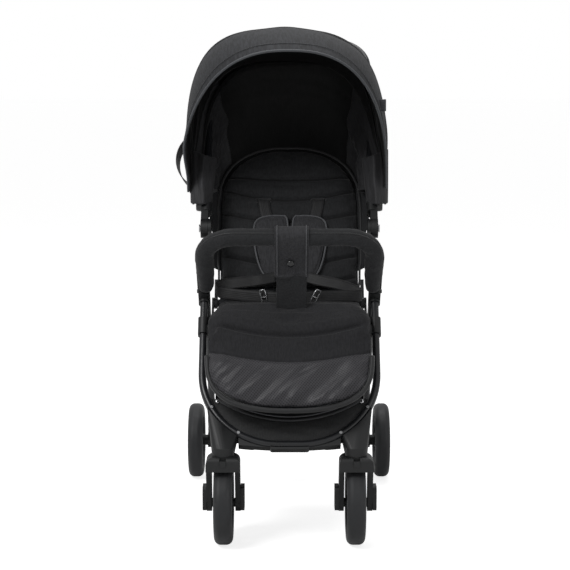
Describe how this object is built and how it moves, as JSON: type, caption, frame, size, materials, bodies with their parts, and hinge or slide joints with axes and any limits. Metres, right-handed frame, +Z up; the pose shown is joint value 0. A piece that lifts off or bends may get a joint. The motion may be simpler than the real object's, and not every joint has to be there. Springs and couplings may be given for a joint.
{
  "type": "baby stroller",
  "caption": "Folding baby stroller with reclining padded seat, leg rest, bumper bar, fan-shaped hood, storage basket, swivelling front wheels and braked rear wheels.",
  "frame": {"origin": "on the floor, below the centre of the stroller's bounding box: midway between the front of the front wheels and the rear of the rear wheels, on the centre plane", "axes": "+Z up, -Y to the stroller's front, +X to the right as seen from the front"},
  "size_m": [0.4623, 0.732, 1.0132],
  "materials": {
    "frame_tube": "satin black paint",
    "plastic": "fine-textured matt black",
    "gloss_plastic": "gloss black",
    "wheel_plastic": "matt black",
    "bright_steel": "zinc-bright",
    "tyre": "matt foamed rubber",
    "seat_fabric": "woven polyester",
    "hood_fabric": "fine woven polyester",
    "mesh_fabric": "three-dimensional mesh",
    "basket_fabric": "plain woven polyester",
    "webbing": "woven webbing",
    "grip_foam": "foam"
  },
  "bodies": {
    "front_frame": {"front_tube": "frame_tube", "leg_housing_left": "plastic", "leg_housing_right": "plastic", "front_crossbar": "plastic", "tube_rivets": "bright_steel", "hinge_bases": "plastic", "leg_brackets": "plastic", "pivot_pins": "bright_steel", "seat_frame": "frame_tube", "seat_brackets": "plastic", "seat_pad": "seat_fabric", "bumper_sockets": "plastic", "basket": "basket_fabric", "foot_panel": "basket_fabric", "harness_buckle": "gloss_plastic"},
    "rear_frame": {"rear_leg_left": "frame_tube", "rear_leg_right": "frame_tube", "rear_cross_tube": "frame_tube", "axle_housings": "plastic", "rear_axle": "bright_steel"},
    "brake": {"brake_pedal": "plastic"},
    "rear_wheel_left": {"tyre_rear_left": "tyre", "rim_rear_left": "wheel_plastic"},
    "rear_wheel_right": {"tyre_rear_right": "tyre", "rim_rear_right": "wheel_plastic"},
    "handle": {"handle_tube": "frame_tube", "handle_grip": "grip_foam", "hinge_arms": "plastic", "fold_release_housing": "plastic", "hood_hubs": "plastic", "hood_rear_hoop": "plastic", "hood_rear_panel": "hood_fabric", "carry_strap": "webbing"},
    "fold_release": {"fold_button": "gloss_plastic"},
    "hood_middle": {"hood_mid_hoop": "plastic", "hood_mid_panel": "hood_fabric"},
    "hood_front": {"hood_front_hoop": "plastic", "hood_visor": "hood_fabric"},
    "back_carrier": {"backrest_frame": "frame_tube"},
    "backrest": {"backrest_board": "plastic", "backrest_pad": "seat_fabric", "shoulder_straps": "webbing", "shoulder_pads": "seat_fabric"},
    "leg_rest": {"leg_rest_frame": "plastic", "leg_rest_pad": "mesh_fabric"},
    "bumper": {"bumper_tube": "frame_tube", "bumper_cover": "seat_fabric", "bumper_strap": "seat_fabric"},
    "bumper_release_left": {"bumper_button_left": "gloss_plastic"},
    "bumper_release_right": {"bumper_button_right": "gloss_plastic"},
    "caster_left": {"fork_left": "plastic"},
    "swivel_lock_left": {"swivel_lock_left": "plastic"},
    "front_axle_left": {"axle_carrier_left": "plastic"},
    "front_wheel_left": {"tyre_front_left": "tyre", "rim_front_left": "wheel_plastic"},
    "caster_right": {"fork_right": "plastic"},
    "swivel_lock_right": {"swivel_lock_right": "plastic"},
    "front_axle_right": {"axle_carrier_right": "plastic"},
    "front_wheel_right": {"tyre_front_right": "tyre", "rim_front_right": "wheel_plastic"}
  },
  "joints": [
    {"name": "fold", "type": "hinge", "parent": "front_frame", "child": "handle", "pos_m": [0, -0.02307, 0.60053], "axis": [-1, 0, 0], "range_deg": [0, 110]},
    {"name": "rear_leg_fold", "type": "hinge", "parent": "front_frame", "child": "rear_frame", "pos_m": [0, -0.04512, 0.50976], "axis": [-1, 0, 0], "range_deg": [0, 51.6]},
    {"name": "backrest_fold", "type": "hinge", "parent": "front_frame", "child": "back_carrier", "pos_m": [0, 0, 0.44], "axis": [-1, 0, 0], "range_deg": [0, 124.1]},
    {"name": "recline", "type": "hinge", "parent": "back_carrier", "child": "backrest", "pos_m": [0, 0, 0.44], "axis": [1, 0, 0], "range_deg": [-45, 0]},
    {"name": "hood", "type": "hinge", "parent": "handle", "child": "hood_front", "pos_m": [0, 0.02824, 0.6606], "axis": [-1, 0, 0], "range_deg": [0, 35]},
    {"name": "hood_middle_fold", "type": "hinge", "parent": "handle", "child": "hood_middle", "pos_m": [0, 0.02824, 0.6606], "axis": [-1, 0, 0], "range_deg": [0, 20.1]},
    {"name": "leg_rest_tilt", "type": "hinge", "parent": "front_frame", "child": "leg_rest", "pos_m": [0, -0.236, 0.407], "axis": [1, 0, 0], "range_deg": [-50, 0]},
    {"name": "bumper_pull_out", "type": "slide", "parent": "front_frame", "child": "bumper", "axis": [0, 0.6947, -0.7193], "range_m": [-0.1, 0]},
    {"name": "bumper_button_left_press", "type": "slide", "parent": "front_frame", "child": "bumper_release_left", "axis": [1, 0, 0], "range_m": [0, 0.002], "stiffness_N_per_m": 300, "springref_m": -0.001},
    {"name": "bumper_button_right_press", "type": "slide", "parent": "front_frame", "child": "bumper_release_right", "axis": [-1, 0, 0], "range_m": [0, 0.002], "stiffness_N_per_m": 300, "springref_m": -0.001},
    {"name": "fold_button_press", "type": "slide", "parent": "handle", "child": "fold_release", "axis": [0, 0.6494, 0.7604], "range_m": [0, 0.006], "stiffness_N_per_m": 300, "springref_m": -0.003},
    {"name": "brake_pedal_tilt", "type": "hinge", "parent": "rear_frame", "child": "brake", "pos_m": [0, 0.24423, 0.13316], "axis": [-1, 0, 0], "range_deg": [0, 25]},
    {"name": "rear_wheel_left_spin", "type": "hinge", "parent": "rear_frame", "child": "rear_wheel_left", "pos_m": [-0.212, 0.282, 0.084], "axis": [1, 0, 0], "continuous": true},
    {"name": "caster_left_swivel", "type": "hinge", "parent": "front_frame", "child": "caster_left", "pos_m": [-0.1295, -0.313, 0.185], "axis": [0, 0, 1], "continuous": true},
    {"name": "suspension_left", "type": "slide", "parent": "caster_left", "child": "front_axle_left", "axis": [0, 0, 1], "range_m": [0, 0.005], "stiffness_N_per_m": 8000, "springref_m": -0.004},
    {"name": "front_wheel_left_spin", "type": "hinge", "parent": "front_axle_left", "child": "front_wheel_left", "pos_m": [-0.1295, -0.283, 0.083], "axis": [1, 0, 0], "continuous": true},
    {"name": "swivel_lock_left_slide", "type": "slide", "parent": "caster_left", "child": "swivel_lock_left", "axis": [0, 0, 1], "range_m": [0, 0.004]},
    {"name": "rear_wheel_right_spin", "type": "hinge", "parent": "rear_frame", "child": "rear_wheel_right", "pos_m": [0.212, 0.282, 0.084], "axis": [1, 0, 0], "continuous": true},
    {"name": "caster_right_swivel", "type": "hinge", "parent": "front_frame", "child": "caster_right", "pos_m": [0.1295, -0.313, 0.185], "axis": [0, 0, 1], "continuous": true},
    {"name": "suspension_right", "type": "slide", "parent": "caster_right", "child": "front_axle_right", "axis": [0, 0, 1], "range_m": [0, 0.005], "stiffness_N_per_m": 8000, "springref_m": -0.004},
    {"name": "front_wheel_right_spin", "type": "hinge", "parent": "front_axle_right", "child": "front_wheel_right", "pos_m": [0.1295, -0.283, 0.083], "axis": [1, 0, 0], "continuous": true},
    {"name": "swivel_lock_right_slide", "type": "slide", "parent": "caster_right", "child": "swivel_lock_right", "axis": [0, 0, 1], "range_m": [0, 0.004]}
  ],
  "couplings": [
    {"joint": "rear_leg_fold", "follows": "fold", "ratio": 0.46818},
    {"joint": "backrest_fold", "follows": "fold", "ratio": 1.1273},
    {"joint": "hood_middle_fold", "follows": "hood", "ratio": 0.57143}
  ]
}
